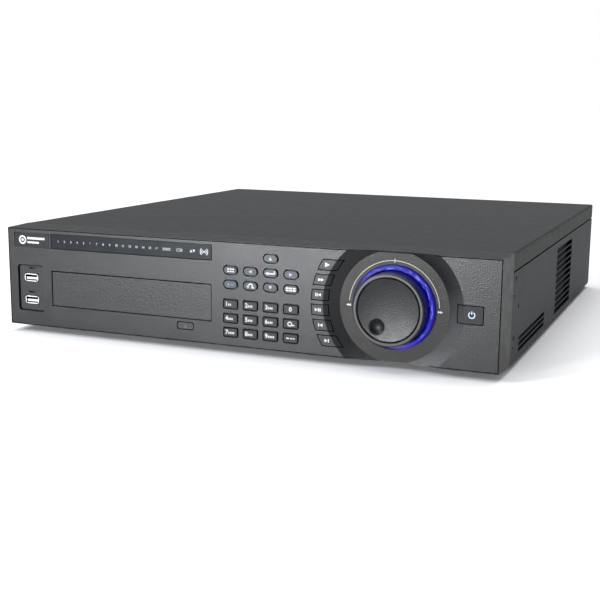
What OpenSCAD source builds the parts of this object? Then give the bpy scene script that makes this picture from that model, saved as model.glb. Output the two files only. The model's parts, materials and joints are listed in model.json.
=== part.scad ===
// Two rack unit video recorder: a moulded front with a keypad, a disc tray and a jog dial, on a folded
// sheet case that holds a disc drive, eight hard disks, two fans and the rear connectors.
// Case coordinates: X to the right, Y from the front face to the back, Z up from the case floor.

/* [Case] */
// Width of the sheet case
case_w = 440; // [438:1:444]
// Depth from the front face to the rear edge
case_d = 460; // [456:1:470]
// Height of the case without its feet
case_h = 88; // [87:0.5:89]
// Thickness of the sheet
sheet_t = 1.2; // [1:0.1:1.4]
// Height at which the lid's side flanges end
seam_z = 72.7; // [70:0.1:76]
// Height of the rubber feet
foot_h = 5; // [4:0.5:6]

/* [Front moulding] */
// Depth of the front moulding
bezel_d = 32; // [30:1:34]
// How much each end face leans in towards the front
draft_side = 1.4; // [1:0.1:2]
// How much the lower face leans in towards the front
draft_low = 1.5; // [1:0.1:2]
// How much the upper face leans in towards the front
draft_top = 0.8; // [0.5:0.1:1.5]
// Thickness of the front wall
front_wall = 3; // [2.5:0.1:3.5]
// Thickness of the moulding's other walls
side_wall = 2.4; // [2:0.1:2.6]

/* [Dial] */
// Dial axis, from the middle of the case
dial_x = 135; // [133:0.5:137]
// Dial axis, above the case floor
dial_z = 44.2; // [44:0.1:45]
// Radius of the dish at the front face
dish_r = 56.3; // [54:0.1:57]
// Radius of the dish's flat floor
floor_r = 43.8; // [42:0.1:44]
// Depth of the dish
dish_depth = 5; // [4:0.1:5.5]
// Outer radius of the light ring
light_r = 33.2; // [32:0.1:34]
// Outer radius of the shuttle ring
shuttle_r = 28.3; // [28:0.1:28.4]
// Radius of the jog disc
jog_r = 24.6; // [24:0.1:24.7]
// How far the dial stands in front of the front face
dial_proud = 10; // [8:0.5:12]
// Radius of the finger dimple
dimple_r = 6.3; // [5:0.1:7]

/* [Keys] */
// Distance between key columns
col_pitch = 17.65; // [17:0.05:18]
// First key column
first_col_x = -1; // [-2:0.5:0]
// Width and height of an oval key hole
oval_hole = [13.7, 8.2];
// Height of the lowest oval row
oval_row_z = 52.6; // [52:0.1:53]
// Distance between oval rows
oval_pitch = 11.6; // [11:0.1:12]
// Width and height of a number key hole
number_hole = [14, 8.7];
// Height of the lowest number row
number_row_z = 13.1; // [12.5:0.1:13.5]
// Distance between number rows
number_pitch = 11.65; // [11:0.05:12]
// Outer and inner radius of the arc that the playback keys follow
play_r = [66.3, 51.8];
// Top of the highest playback key
play_top_z = 78.7; // [78.5:0.1:79.5]
// Distance between playback keys
play_pitch = 12; // [11.8:0.1:12.2]
// Height of a playback key hole
play_h = 9.2; // [8.8:0.1:9.4]
// Gap all round a keypad key
pad_gap = 0.9; // [0.5:0.05:1]
// Gap all round a playback, power or eject key
key_gap = 0.75; // [0.5:0.05:0.8]
// How far the keypad keys stand proud
key_proud = 0.8; // [0.4:0.1:1]
// Chamfer round the top of a keypad key
key_edge = 0.45; // [0.2:0.05:0.6]

/* [Disc tray] */
// Middle of the tray panel
tray_x = -96.3; // [-97:0.1:-95]
// Middle of the tray panel, above the case floor
tray_z = 36; // [35.5:0.1:36.5]
// Width and height of the opening in the front
tray_hole = [155.9, 31.3];

/* [Hidden] */
$fn = 64;
cut = 1;
rear_proud = 10;
case_y = -(case_d + rear_proud - dial_proud) / 2;

panel_grey = "#6b6c70";
sheet_grey = "#4c4d50";
key_grey = "#7a7f84";
board_green = "#1f5a3a";
bright_metal = "#c8cacc";
plain_black = "#1b1b1d";

// Front parts: positions along Y behind the front face
slab_y = 8.5;
slab_r = 72;
disc_t = 1;
board_y = 17.6;
board_t = 1.6;
switch_h = 3.5;
stem_y = 12.9;
flange_t = 1.2;
flange_gap = 0.2;
flange_grow = 0.8;
shaft_r = 3;
dimple_at = [-8.4, -12.6];
dimple_deep = 2;
dimple_ball = (dimple_r * dimple_r + dimple_deep * dimple_deep) / (2 * dimple_deep);
sleeve_r = 5.95;
running_gap = 0.05;

groove_in = 0.2;
groove_w = 0.8;
groove_d = 2;
badge = [-193.8, 77, 36.4, 12.8];
window = [-96, 77.2, 156.2, 13.3];
window_t = 1.6;
plate_gap = 0.4;
mark_z = 77.6;
channel_x = -166.2;
channel_pitch = 6.48;
state_x = [-59.7, -47.6, -35.6, -25];
usb_recess = [-196, 34.7, 27.1, 41];
recess_r = 3;
recess_gap = 1.05;
usb_x = -196;
usb_z = [43.9, 24.1];
usb_depth = 1.5;
usb_shell = [13.1, 5.9];
usb_mouth = [12.4, 5.1];
usb_lip = 0.45;
usb_notch = 1.4;
usb_hole = [14.4, 7.6];
power_key = [195.4, 44.3, 20.8, 14.6];
power_key_r = 0.8;
eject_key = [-42.8, 14.7, 16, 6.9];
post_at = [[-190, 63], [-190, 8.5], [8, 44.5], [61, 44.5], [190, 76], [190, 12]];
boss_x = 211.5;
boss_z = [9, 79];

oval_keys = [
    ["key_shift", 0, 0], ["key_escape", 1, 0], ["key_down", 2, 0], ["key_multi", 3, 0],
    ["key_function", 0, 1], ["key_left", 1, 1], ["key_enter", 2, 1], ["key_right", 3, 1], ["key_up", 2, 2]];
number_keys = [
    ["key_7", 0, 0], ["key_8", 1, 0], ["key_9", 2, 0], ["key_dash", 3, 0],
    ["key_4", 0, 1], ["key_5", 1, 1], ["key_6", 2, 1], ["key_circle", 3, 1],
    ["key_1", 0, 2], ["key_2", 1, 2], ["key_3", 2, 2], ["key_0", 3, 2]];
play_keys = ["key_play", "key_fast", "key_reverse", "key_slow", "key_previous", "key_next"];

// Case parts
cover_gap = 0.3;
seam_gap = 1.2;
tab_gap = 0.2;
inner_x = case_w / 2 - 2 * sheet_t - tab_gap;
panel_y = case_d - 2 * sheet_t;
panel_top = case_h - sheet_t - 0.2;
lip_z = 79;
lid_screw_x = [-190, 0, 190];
screw_r = 1.5;
foot_at = [180, 60, 400];
ear_y = 42;
ear_z = [20.7, 67.3];
ear_r = 2.1;

// Disc drive
drive_size = [146, 178, 41.2];
drive_y = 34;
tray_size = [129, 184, 9];
disc_hole_r = 60.5;
disc_y = 103;

// Hard disks
disk_size = [101.6, 147, 26.1];
stack_x = [4, 112];
stack_y = [52, 214];
disk_z = [5, 40];
bracket_t = 1;

// Rear parts
fan_x = [-66, -2];
fan_z = 50;
fan_w = 60;
fan_d = 20;
fan_r = 28;
rotor_r = 27.2;
rotor_hub_r = 14.5;
fan_shaft_r = 1.5;
supply = [-214, -106, 306, panel_y, sheet_t, 66];
inlet = [-186, 26];
rocker_at = [-158, 26];
rocker_tilt = 8;
pivot_y = case_d - 0.5;
pivot_r = 1.6;
bnc_x = 44;
bnc_pitch = 14.6;
bnc_z = [19, 38];
vga = [62, 66];
serial = [98, 66];
hdmi = [132, 66];
network = [170, 63.9];
audio = [[172, 44], [192, 44]];
alarm_box = [160, 212, 10, 30];
main_board_box = [-98, 214, 372, 456];
main_board_z = 6;
ribbon_x = [-18, -4];
header_h = 6;
upper_board_z = 55.6;

// ---- helpers ----
module case_frame() { translate([0, case_y, foot_h]) children(); }
module along_y(y0, y1) {
    translate([0, y1, 0]) rotate([90, 0, 0]) linear_extrude(height = y1 - y0) children();
}
module along_x(x0, x1) {
    translate([x0, 0, 0]) rotate([90, 0, 90]) linear_extrude(height = x1 - x0) children();
}
module along_z(z0, z1) { translate([0, 0, z0]) linear_extrude(height = z1 - z0) children(); }
module on_dial() { translate([dial_x, 0, dial_z]) rotate([-90, 0, 0]) children(); }
module block(x, y, z) { translate([x[0], y[0], z[0]]) cube([x[1] - x[0], y[1] - y[0], z[1] - z[0]]); }
module mirrored() {
    children();
    mirror([1, 0, 0]) children();
}
module rounded_rect(w, h, r) {
    square([w - 2 * r, h], center = true);
    square([w, h - 2 * r], center = true);
    for (x = [-1, 1], y = [-1, 1]) translate([x * (w / 2 - r), y * (h / 2 - r)]) circle(r);
}
module stadium(w, h) {
    square([w - h, h], center = true);
    for (x = [-1, 1]) translate([x * (w - h) / 2, 0]) circle(h / 2);
}
module placed(place, r, grow = 0) {
    translate([place[0], place[1]]) rounded_rect(place[2] + 2 * grow, place[3] + 2 * grow, r);
}
module tube(r_out, r_in, y0, y1) {
    translate([0, 0, y0]) difference() {
        cylinder(r = r_out, h = y1 - y0);
        translate([0, 0, -cut]) cylinder(r = r_in, h = y1 - y0 + 2 * cut);
    }
}

// ---- key outlines, each grown by g ----
module oval_outline(key, g) {
    translate([first_col_x + key[1] * col_pitch, oval_row_z + key[2] * oval_pitch])
        stadium(oval_hole[0] + 2 * g, oval_hole[1] + 2 * g);
}
module number_outline(key, g) {
    translate([first_col_x + key[1] * col_pitch, number_row_z + key[2] * number_pitch])
        rounded_rect(number_hole[0] + 2 * g, number_hole[1] + 2 * g, 1.8 + g);
}
module play_outline(i, g) {
    top = play_top_z - i * play_pitch;
    intersection() {
        translate([dial_x, dial_z]) difference() {
            circle(play_r[0] + g, $fn = 128);
            circle(play_r[1] - g, $fn = 128);
        }
        translate([dial_x - play_r[0] - 5, top - play_h - g]) square([play_r[0], play_h + 2 * g]);
    }
}

// ---- front moulding ----
// The moulding's outside, brought in by "inset" on every side but the front and back
module drafted(inset, y0) {
    half = case_w / 2 - inset;
    intersection() {
        along_z(-cut, case_h + cut)
            polygon([[-half + draft_side, 0], [half - draft_side, 0], [half, bezel_d], [-half, bezel_d]]);
        along_x(-case_w, case_w)
            polygon([[0, draft_low + inset], [0, case_h - draft_top - inset],
                     [bezel_d, case_h - inset], [bezel_d, inset]]);
        block([-case_w, case_w], [y0, bezel_d], [-cut, case_h + cut]);
    }
}
module dish() {
    slope = (dish_r - floor_r) / dish_depth;
    on_dial() translate([0, 0, -cut])
        cylinder(r1 = dish_r + slope * cut, r2 = floor_r, h = dish_depth + cut, $fn = 128);
}
// The disc in the dish's floor is cut straight where it meets the top and bottom of the front
module disc_outline(r) {
    intersection() {
        translate([dial_x, dial_z]) circle(r, $fn = 128);
        translate([dial_x - r - 1, 2]) square([2 * r + 2, case_h - 3.4]);
    }
}
module key_holes() {
    along_y(-key_proud - cut, front_wall + cut) {
        for (key = oval_keys) oval_outline(key, 0);
        for (key = number_keys) number_outline(key, 0);
        placed(eject_key, 2);
    }
    along_y(-cut, slab_y + cut) {
        for (i = [0:5]) play_outline(i, 0);
        placed(power_key, power_key_r);
    }
}
// A fine groove runs round the front face, just inside its edge
module edge_groove() {
    along_y(-cut, groove_d) difference() {
        front_outline(groove_in);
        front_outline(groove_in + groove_w);
    }
}
module front_outline(inset) {
    w = case_w - 2 * (draft_side + inset);
    h = case_h - draft_low - draft_top - 2 * inset;
    translate([-w / 2, draft_low + inset]) square([w, h]);
}
module front_pockets() {
    along_y(-cut, 0.8) placed(badge, 0.6);
    along_y(-cut, window_t) placed(window, 0.6);
    along_y(-cut, usb_depth) placed(usb_recess, recess_r);
    along_y(-cut, usb_depth + 1.6) difference() {
        placed(usb_recess, recess_r);
        placed(usb_recess, recess_r - recess_gap, -recess_gap);
    }
    along_y(-cut, slab_y + cut) for (z = usb_z) translate([usb_x, z])
        square(usb_hole, center = true);
    along_y(-cut, slab_y + cut) translate([tray_x, tray_z]) square(tray_hole, center = true);
    for (i = [0:15]) indicator_hole(channel_x + i * channel_pitch);
    for (x = state_x) indicator_hole(x);
}
module indicator_hole(x) {
    translate([x, front_wall + cut, mark_z])
        rotate([90, 0, 0]) cylinder(r = 1, h = front_wall + cut, $fn = 24);
}
module front_bezel() {
    color(panel_grey) difference() {
        union() {
            difference() {
                drafted(0, 0);
                translate([0, cut, 0]) drafted(side_wall, front_wall - cut);
            }
            intersection() {
                drafted(side_wall / 2, 1);
                on_dial() cylinder(r = slab_r, h = slab_y, $fn = 128);
            }
            along_y(1, usb_depth + front_wall) placed(usb_recess, recess_r, 3);
            along_y(1, 8) difference() {
                translate([tray_x, tray_z]) square(tray_hole + [3.6, 3.6], center = true);
                placed(eject_key, 2);
            }
            for (at = post_at) translate([at[0], board_y, at[1]])
                rotate([90, 0, 0]) cylinder(r = 2.2, h = board_y - 2);
            mirrored() for (z = boss_z)
                translate([boss_x, bezel_d, z]) rotate([90, 0, 0]) cylinder(r = 4, h = bezel_d - 2);
        }
        dish();
        along_y(dish_depth - 0.5, dish_depth + disc_t) disc_outline(floor_r);
        on_dial() cylinder(r = 8, h = slab_y + cut);
        edge_groove();
        key_holes();
        front_pockets();
        mirrored() for (z = boss_z)
            translate([boss_x, bezel_d + cut, z]) rotate([90, 0, 0]) cylinder(r = screw_r + 0.1, h = 11);
    }
}
module dial_surround() {
    color("#5c5b58") difference() {
        along_y(dish_depth, dish_depth + disc_t) disc_outline(floor_r);
        on_dial() cylinder(r = light_r, h = 20);
    }
}
module light_ring() {
    back = dish_depth + disc_t;
    color("#2a1fd8") on_dial() rotate_extrude($fn = 128)
        polygon([[29, back], [light_r, back], [light_r, 4.2], [light_r - 0.5, 2.7], [light_r - 1.3, 1.7],
                 [30.7, 1.2], [29.6, 1.3], [29, 2]]);
}
module badge_plate() { color("#45474a") along_y(0, 0.8) placed(badge, 0.5, -plate_gap); }
module status_window() { color("#3c434b") along_y(0, window_t) placed(window, 0.5, -plate_gap); }

// ---- dial ----
module shuttle_ring() {
    front = -dial_proud;
    hub_y = front + 5.3;
    bore_r = shaft_r + running_gap;
    color("#8a8a82") on_dial() rotate_extrude($fn = 128)
        polygon([[shuttle_r, 5.4], [shuttle_r, front + 2.2], [28.1, front + 1.1], [27.7, front + 0.4],
                 [27, front], [25.7, front], [25.1, front + 0.6], [25.1, hub_y], [bore_r, hub_y],
                 [bore_r, 15], [sleeve_r, 15], [sleeve_r, hub_y + 2.4], [26.3, hub_y + 2.4], [26.3, 5.4]]);
}
module jog_dial() {
    face_y = -dial_proud + 0.5;
    back_y = face_y + 4.4;
    sag = 1.8;
    bowl_edge = jog_r - 0.7;
    // The bowl is flat over its first tenth
    bowl = concat([[0, face_y + sag * 0.99]],
                  [for (i = [1:10]) [bowl_edge * i / 10, face_y + sag * (1 - pow(i / 10, 2))]]);
    color("#5a5b5d") on_dial() difference() {
        rotate_extrude($fn = 128)
            polygon(concat(bowl, [[jog_r, face_y + 0.5], [jog_r, back_y], [shaft_r, back_y],
                                  [shaft_r, 16.8], [0, 16.8]]));
        translate([dimple_at[0], -dimple_at[1], face_y + sag * 0.6 + dimple_deep - dimple_ball])
            sphere(r = dimple_ball);
    }
}
module jog_encoder() {
    color(bright_metal) on_dial() difference() {
        union() {
            translate([-14, -14, 9]) cube([28, 28, board_y - 9]);
            translate([0, 0, 6.2]) cylinder(r = 7.9, h = 4);
        }
        translate([0, 0, 5]) cylinder(r = sleeve_r + running_gap, h = 10.2);
        translate([0, 0, 15]) cylinder(r = shaft_r + running_gap, h = 2.1);
    }
}

// ---- keys: a cap, a flange that holds it behind the wall, and a stem to its switch ----
// Section across a cap of width w: its front corners are chamfered and it ends at depth y1
function cap_section(w, y1) = [
    [key_edge - w / 2, -key_proud], [w / 2 - key_edge, -key_proud], [w / 2, key_edge - key_proud],
    [w / 2, y1], [-w / 2, y1], [-w / 2, key_edge - key_proud]];
module cap_along_x(length, h, y1) {
    along_x(-length / 2, length / 2) polygon([for (p = cap_section(h, y1)) [p[1], p[0]]]);
}
module oval_cap(w, h, y1) {
    straight = w - h;
    for (side = [-1, 1]) translate([side * straight / 2, -key_proud, 0]) rotate([-90, 0, 0]) {
        cylinder(r1 = h / 2 - key_edge, r2 = h / 2, h = key_edge);
        translate([0, 0, key_edge]) cylinder(r = h / 2, h = y1 + key_proud - key_edge);
    }
    cap_along_x(straight, h, y1);
}
module number_cap(w, h, y1) {
    intersection() {
        along_y(-key_proud, y1) rounded_rect(w, h, 1.8 - pad_gap);
        cap_along_x(w, h, y1);
        along_z(-h / 2, h / 2) polygon(cap_section(w, y1));
    }
}
module stem(x, z, y0) {
    translate([x, stem_y, z]) rotate([90, 0, 0]) cylinder(r = 1.6, h = stem_y - y0, $fn = 32);
}
module oval_key(key) {
    flange_y = front_wall + flange_gap;
    color(key_grey) {
        translate([first_col_x + key[1] * col_pitch, 0, oval_row_z + key[2] * oval_pitch])
            oval_cap(oval_hole[0] - 2 * pad_gap, oval_hole[1] - 2 * pad_gap, flange_y + 0.2);
        along_y(flange_y, flange_y + flange_t) oval_outline(key, flange_grow);
        stem(first_col_x + key[1] * col_pitch, oval_row_z + key[2] * oval_pitch, flange_y + 1);
    }
}
module number_key(key) {
    flange_y = front_wall + flange_gap;
    color("#5f6260") {
        translate([first_col_x + key[1] * col_pitch, 0, number_row_z + key[2] * number_pitch])
            number_cap(number_hole[0] - 2 * pad_gap, number_hole[1] - 2 * pad_gap, flange_y + 0.2);
        along_y(flange_y, flange_y + flange_t) number_outline(key, flange_grow);
        stem(first_col_x + key[1] * col_pitch, number_row_z + key[2] * number_pitch, flange_y + 1);
    }
}
module play_key(i) {
    flange_y = slab_y + flange_gap;
    middle_z = play_top_z - i * play_pitch - play_h / 2;
    middle_r = (play_r[0] + play_r[1]) / 2;
    color(panel_grey) {
        difference() {
            along_y(0, flange_y + 0.2) play_outline(i, -key_gap);
            dish();
        }
        along_y(flange_y, flange_y + flange_t) play_outline(i, flange_grow);
        stem(dial_x - sqrt(pow(middle_r, 2) - pow(middle_z - dial_z, 2)), middle_z, flange_y + 1);
    }
}
module power_button() {
    flange_y = slab_y + flange_gap;
    color("#4a4a4a") {
        difference() {
            along_y(0, flange_y + 0.2) placed(power_key, power_key_r, -key_gap);
            dish();
        }
        along_y(flange_y, flange_y + flange_t) placed(power_key, power_key_r, flange_grow);
        stem(power_key[0], power_key[1], flange_y + 1);
    }
}
module eject_button() {
    flange_y = front_wall + flange_gap;
    color(panel_grey) {
        along_y(0, flange_y + 0.2) placed(eject_key, 2, -key_gap);
        along_y(flange_y, flange_y + flange_t) difference() {
            placed(eject_key, 2, flange_grow);
            translate([eject_key[0] - 20, tray_z - tray_hole[1] / 2 - 2.3]) square([40, 5]);
        }
        stem(eject_key[0], eject_key[1] - 0.5, flange_y + 1);
    }
}

// ---- circuit board behind the front ----
module switch_at(x, z) { block([x - 3, x + 3], [board_y - switch_h, board_y + 0.2], [z - 3, z + 3]); }
module led_at(x) { block([x - 1, x + 1], [board_y - 1.2, board_y + 0.2], [mark_z - 0.8, mark_z + 0.8]); }
module key_board() {
    middle_r = (play_r[0] + play_r[1]) / 2;
    color(board_green) {
        along_y(board_y, board_y + board_t) difference() {
            translate([-204, 4]) square([408, case_h - 8]);
            translate([tray_x, tray_z]) square(tray_hole + [7, 4.4], center = true);
        }
        for (key = oval_keys)
            switch_at(first_col_x + key[1] * col_pitch, oval_row_z + key[2] * oval_pitch);
        for (key = number_keys)
            switch_at(first_col_x + key[1] * col_pitch, number_row_z + key[2] * number_pitch);
        for (i = [0:5]) {
            middle_z = play_top_z - i * play_pitch - play_h / 2;
            switch_at(dial_x - sqrt(pow(middle_r, 2) - pow(middle_z - dial_z, 2)), middle_z);
        }
        switch_at(power_key[0], power_key[1]);
        switch_at(eject_key[0], eject_key[1] - 0.5);
        for (i = [0:15]) led_at(channel_x + i * channel_pitch);
        for (x = state_x) led_at(x);
        block([ribbon_x[0] - 2, ribbon_x[1] + 2],
              [board_y + board_t - 0.2, board_y + board_t + header_h], [57, 63]);
    }
}
// A folded shell with a flared lip on each side of its mouth, and a tongue in its lower half
module usb_socket() {
    lip_y = usb_depth - 0.7;
    difference() {
        union() {
            along_y(lip_y, board_y) square(usb_shell, center = true);
            along_y(lip_y, lip_y + 0.6) {
                square(usb_shell + [-2 * usb_notch, 2 * usb_lip], center = true);
                square(usb_shell + [2 * usb_lip, -usb_notch], center = true);
            }
        }
        along_y(0, 15.6) square(usb_mouth, center = true);
    }
    along_y(lip_y + 0.8, 15.8) translate([0.2, -0.7]) square([11, 2.2], center = true);
}
module usb_sockets() { color(bright_metal) for (z = usb_z) translate([usb_x, 0, z]) usb_socket(); }

// ---- disc drive ----
module tray_cover() {
    color(panel_grey) along_y(0.5, 4.3) translate([tray_x, tray_z - 0.1])
        square(tray_hole - [1.6, 1.8], center = true);
}
module disc_tray() {
    half = tray_size[0] / 2;
    top = tray_z + 4.5;
    color(plain_black) difference() {
        block([tray_x - half, tray_x + half], [4.3, 4.3 + tray_size[1]], [top - tray_size[2], top]);
        translate([tray_x, disc_y, top - 4.2]) cylinder(r = disc_hole_r, h = 10, $fn = 128);
        translate([tray_x, disc_y, 0]) cylinder(r = 19, h = 60);
        block([tray_x - 12, tray_x + 12], [disc_y, disc_y + 62], [0, 60]);
        for (x = [-1, 1]) block([tray_x + x * 52 - 6, tray_x + x * 52 + 6], [20, 38], [top - 1.5, top + 1]);
    }
}
module optical_drive() {
    x = [tray_x - drive_size[0] / 2, tray_x + drive_size[0] / 2];
    y = [drive_y, drive_y + drive_size[1]];
    z = [tray_z - drive_size[2] / 2, tray_z + drive_size[2] / 2];
    top = tray_z + 4.5;
    color("#9a9c9e") {
        difference() {
            block(x, y, z);
            block(x + [1.2, -1.2], y + [-cut, -1.2], z + [1.2, -1.2]);
        }
        for (side = [-1, 1]) {
            edge = tray_x + side * (tray_size[0] / 2 + 0.6);
            wall = tray_x + side * (drive_size[0] / 2 - 1);
            block([min(edge, wall), max(edge, wall)], y + [4, -10], [top - tray_size[2], top]);
        }
        translate([tray_x, disc_y, z[0] + 1]) cylinder(r = 13, h = top - tray_size[2] - 0.6 - z[0] - 1);
        block([tray_x - 20, tray_x + 20], [y[1] - 1, y[1] + 6], [z[0] + 4, z[0] + 14]);
    }
}

// ---- sheet case ----
module side_slots() {
    for (i = [0:10]) slot([232, 320], 6.9 + i * 5.7, 4.8);
    for (i = [0:2]) slot([63, 176], 6.9 + i * 4.6, 3.5);
}
module slot(y, z, h) { block([case_w / 2 - 3, case_w / 2 + 1], y, [z - h / 2, z + h / 2]); }
module side_hole(y, z, r) {
    translate([case_w / 2 - 3, y, z]) rotate([0, 90, 0]) cylinder(r = r, h = 4, $fn = 32);
}
module side_wall_right() {
    outer = case_w / 2;
    y = [bezel_d + cover_gap, case_d];
    difference() {
        union() {
            block([outer - sheet_t, outer], y, [0, seam_z]);
            block([inner_x, outer], y, [seam_z - sheet_t, seam_z]);
            block([inner_x, inner_x + sheet_t], [bezel_d, case_d - sheet_t - 0.4],
                  [seam_z - sheet_t, panel_top]);
        }
        side_slots();
        for (z = ear_z) side_hole(ear_y, z, ear_r);
        side_hole(56.4, 43.8, 1.8);
        side_hole(41, 13, 1.4);
        slot([35.8, 39.8], 54.4, 1.6);
    }
}
module chassis() {
    color(sheet_grey) {
        block([-case_w / 2, case_w / 2], [bezel_d + cover_gap, case_d], [0, sheet_t]);
        mirrored() side_wall_right();
        along_y(bezel_d, bezel_d + sheet_t) difference() {
            translate([-inner_x - sheet_t, 0.3]) square([2 * (inner_x + sheet_t), panel_top - 0.3]);
            translate([tray_x, tray_z]) square([drive_size[0] + 3, drive_size[2] + 3], center = true);
            translate([ribbon_x[0] - 2, 56]) square([ribbon_x[1] - ribbon_x[0] + 4, 8]);
            mirrored() for (z = boss_z) translate([boss_x, z]) circle(1.6, $fn = 32);
        }
    }
}
module cover_section() {
    drop = case_h - seam_z + 6;
    difference() {
        translate([0, case_h - drop / 2]) rounded_rect(case_w, drop, 1.8);
        translate([-case_w / 2 + sheet_t, 0]) square([case_w - 2 * sheet_t, case_h - sheet_t]);
        translate([-case_w, 0]) square([2 * case_w, seam_z + seam_gap]);
    }
}
module top_cover() {
    color("#505254") {
        along_y(bezel_d + cover_gap, case_d) cover_section();
        difference() {
            block([-case_w / 2 + 5, case_w / 2 - 5], [case_d - sheet_t, case_d],
                  [lip_z, case_h - sheet_t + 0.2]);
            for (x = lid_screw_x) translate([x, case_d + cut, lip_z + 3.6])
                rotate([90, 0, 0]) cylinder(r = 1.6, h = 5);
        }
    }
}
module screw(head_y, length) {
    rotate([-90, 0, 0]) {
        translate([0, 0, head_y]) cylinder(r = 2.9, h = 1.8, $fn = 32);
        translate([0, 0, head_y - length]) cylinder(r = screw_r, h = length + 0.5, $fn = 32);
    }
}
module case_screws() {
    color(bright_metal) {
        for (x = lid_screw_x) translate([x, 0, lip_z + 3.6]) screw(case_d, 6);
        mirrored() for (z = boss_z) translate([boss_x, 0, z]) screw(bezel_d + sheet_t, 9);
    }
}
module foot() {
    difference() {
        translate([0, 0, -foot_h]) {
            cylinder(r1 = 12, r2 = 13, h = 1);
            translate([0, 0, 1]) cylinder(r = 13, h = foot_h - 1);
        }
        translate([0, 0, -foot_h - cut]) cylinder(r = 4, h = cut + 2.5);
    }
}
module feet() {
    color(plain_black) mirrored() for (y = [foot_at[1], foot_at[2]]) translate([foot_at[0], y, 0]) foot();
}

// ---- inside ----
module hard_drive() {
    difference() {
        cube(disk_size);
        translate([disk_size[0] / 2, 90, disk_size[2] - 0.8]) difference() {
            cylinder(r = 46, h = 2);
            translate([0, 0, -cut]) cylinder(r = 44, h = 4);
        }
        translate([18, 140, 2]) cube([60, 10, 7]);
    }
}
module hard_drives() {
    color("#a9abad") for (x = stack_x, y = stack_y, z = disk_z) translate([x, y, z]) hard_drive();
}
module bracket(x, side) {
    for (y = stack_y) {
        block([x, x + bracket_t], [y + 8, y + 140], [sheet_t, disk_z[1] + disk_size[2]]);
        block([min(x, x + side * 9), max(x + bracket_t, x + bracket_t + side * 9)], [y + 8, y + 140],
              [sheet_t, sheet_t + bracket_t]);
    }
}
module drive_brackets() {
    color(plain_black) for (x = stack_x) {
        bracket(x - bracket_t, 1);
        bracket(x + disk_size[0], -1);
    }
    color(plain_black) for (side = [-1, 1]) {
        plate = tray_x + side * (drive_size[0] + bracket_t) / 2;
        foot = plate + side * 4;
        block([plate - bracket_t / 2, plate + bracket_t / 2], [drive_y + 12, drive_y + 160],
              [sheet_t, tray_z]);
        block([foot - 4.5, foot + 4.5], [drive_y + 12, drive_y + 160], [sheet_t, sheet_t + bracket_t]);
    }
}
module power_supply() {
    x = [supply[0], supply[1]];
    y = [supply[2], supply[3]];
    z = [supply[4], supply[5]];
    color("#8d9092") difference() {
        block(x, y, z);
        block(x + [1.2, -1.2], y + [1.2, cut], z + [1.2, -1.2]);
        for (i = [0:8])
            block([x[0] + 12 + i * 10, x[0] + 16 + i * 10], [y[0] + 20, y[1] - 40], [z[1] - 2, z[1] + 1]);
    }
}
module main_board() {
    z = main_board_z + board_t;
    color(board_green) {
        block([main_board_box[0], main_board_box[1]], [main_board_box[2], main_board_box[3]],
              [main_board_z, z]);
        for (x = [-90, 50, 206], y = [380, 430])
            translate([x, y, sheet_t]) cylinder(r = 3, h = main_board_z - sheet_t + 0.2, $fn = 32);
        block([60, 100], [385, 425], [z - 0.2, z + 4]);
        for (i = [0:7]) block([61 + i * 5, 63 + i * 5], [386, 424], [z + 3, z + 18]);
        for (i = [0:3]) translate([-80 + i * 16, 392, z - 0.2]) cylinder(r = 5, h = 11, $fn = 32);
        block([ribbon_x[0] - 2, ribbon_x[1] + 2], [375, 382], [z - 0.2, z + header_h]);
        block([50, 212], [404, panel_y - 1], [upper_board_z, upper_board_z + board_t]);
        for (x = [54, 208], y = [408, 438])
            translate([x, y, z - 0.2]) cylinder(r = 2.5, h = upper_board_z - z + 0.4, $fn = 32);
        block([120, 150], [390, 420], [z - 0.2, z + 2.4]);
    }
}
module front_panel_cable() {
    t = 1;
    start = board_y + board_t + header_h;
    fall = start + 26;
    finish = main_board_box[2] + 7;
    top = main_board_z + board_t + header_h;
    color("#b9bcc0") along_x(ribbon_x[0], ribbon_x[1]) {
        translate([start, 60]) square([fall - start, t]);
        translate([fall - t, 20]) square([t, 40 + t]);
        translate([fall - t, 20]) square([finish - fall + t, t]);
        translate([finish - t, top]) square([t, 21 - top]);
    }
}

// ---- fans ----
module on_fan(x) { translate([x, panel_y - fan_d, fan_z]) rotate([-90, 0, 0]) children(); }
module fan_frame() {
    difference() {
        translate([-fan_w / 2, -fan_w / 2, 0]) cube([fan_w, fan_w, fan_d]);
        translate([0, 0, -cut]) cylinder(r = fan_r, h = fan_d + 2 * cut);
        for (x = [-25, 25], y = [-25, 25]) translate([x, y, -cut])
            cylinder(r = 2.1, h = fan_d + 2 * cut, $fn = 32);
    }
    difference() {
        union() {
            cylinder(r = rotor_hub_r, h = 3);
            for (a = [45:90:315]) rotate([0, 0, a]) translate([10, -1.5, 0]) cube([fan_r - 9, 3, 2.5]);
        }
        translate([0, 0, -cut]) cylinder(r = fan_shaft_r + running_gap, h = 5, $fn = 32);
    }
}
module fan_frames() { color(plain_black) for (x = fan_x) on_fan(x) fan_frame(); }
module fan_rotor(x) {
    color("#2a2b2d") on_fan(x) {
        translate([0, 0, 3.4]) cylinder(r = rotor_hub_r, h = 14);
        translate([0, 0, 0.4]) cylinder(r = fan_shaft_r, h = 3.4, $fn = 32);
        intersection() {
            tube(rotor_r, rotor_hub_r - 1, 3.8, 17);
            for (i = [0:6]) rotate([0, 0, i * 360 / 7]) translate([rotor_hub_r - 3, 0, 10.4])
                rotate([40, 0, 0]) translate([0, -12, -0.6]) cube([20, 24, 1.2]);
        }
    }
}

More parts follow.
